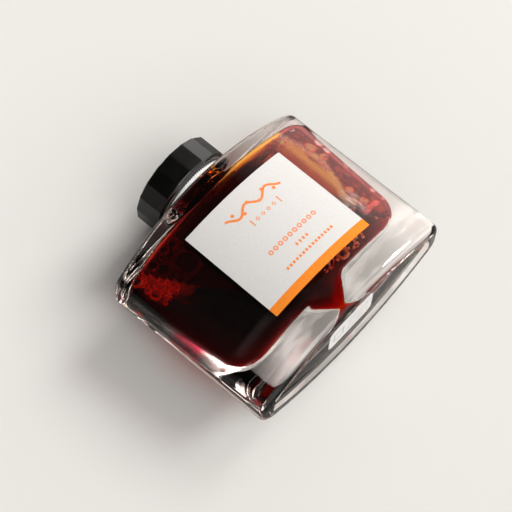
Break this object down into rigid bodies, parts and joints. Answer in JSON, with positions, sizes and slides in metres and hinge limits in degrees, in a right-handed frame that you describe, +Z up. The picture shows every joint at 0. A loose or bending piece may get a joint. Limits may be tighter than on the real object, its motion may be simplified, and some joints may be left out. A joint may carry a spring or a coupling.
{
  "type": "ink bottle",
  "caption": "Heavy glass ink bottle with a lens-shaped body, a conical pen well in its thick base, a corded screw neck and a faceted screw cap.",
  "frame": {"origin": "centre of the base, on the plane the bottle stands on, under the axis of the neck", "axes": "+Z up along the neck and cap, X along the width, -Y out of the front with the label"},
  "size_m": [0.08, 0.0329, 0.0723],
  "materials": {
    "clear_glass": "clear pressed glass, polished",
    "red_ink": "clear dye ink, near black in depth and orange where thin",
    "label_paper": "matt white paper with orange printing",
    "sticker_paper": "matt white paper with faint grey marks",
    "silver_cord": "twisted silvery cord",
    "black_plastic": "gloss black",
    "insert_plastic": "satin black",
    "liner_foam": "matt off-white foam"
  },
  "bodies": {
    "bottle": {"glass_bottle": "clear_glass", "ink": "red_ink", "front_label": "label_paper", "base_sticker": "sticker_paper", "neck_cord": "silver_cord"},
    "seal": {"cap_liner": "liner_foam"},
    "cap": {"cap_shell": "black_plastic", "cap_insert": "insert_plastic"}
  },
  "joints": [
    {"name": "cap_rise", "type": "slide", "parent": "bottle", "child": "seal", "axis": [0, 0, 1], "range_m": [0, 0.00794]},
    {"name": "cap_turn", "type": "hinge", "parent": "seal", "child": "cap", "pos_m": [0, 0, 0.0677], "axis": [0, 0, 1], "range_deg": [0, 900]}
  ],
  "couplings": [
    {"joint": "cap_rise", "follows": "cap_turn", "m_per_rad": 0.00050532}
  ]
}
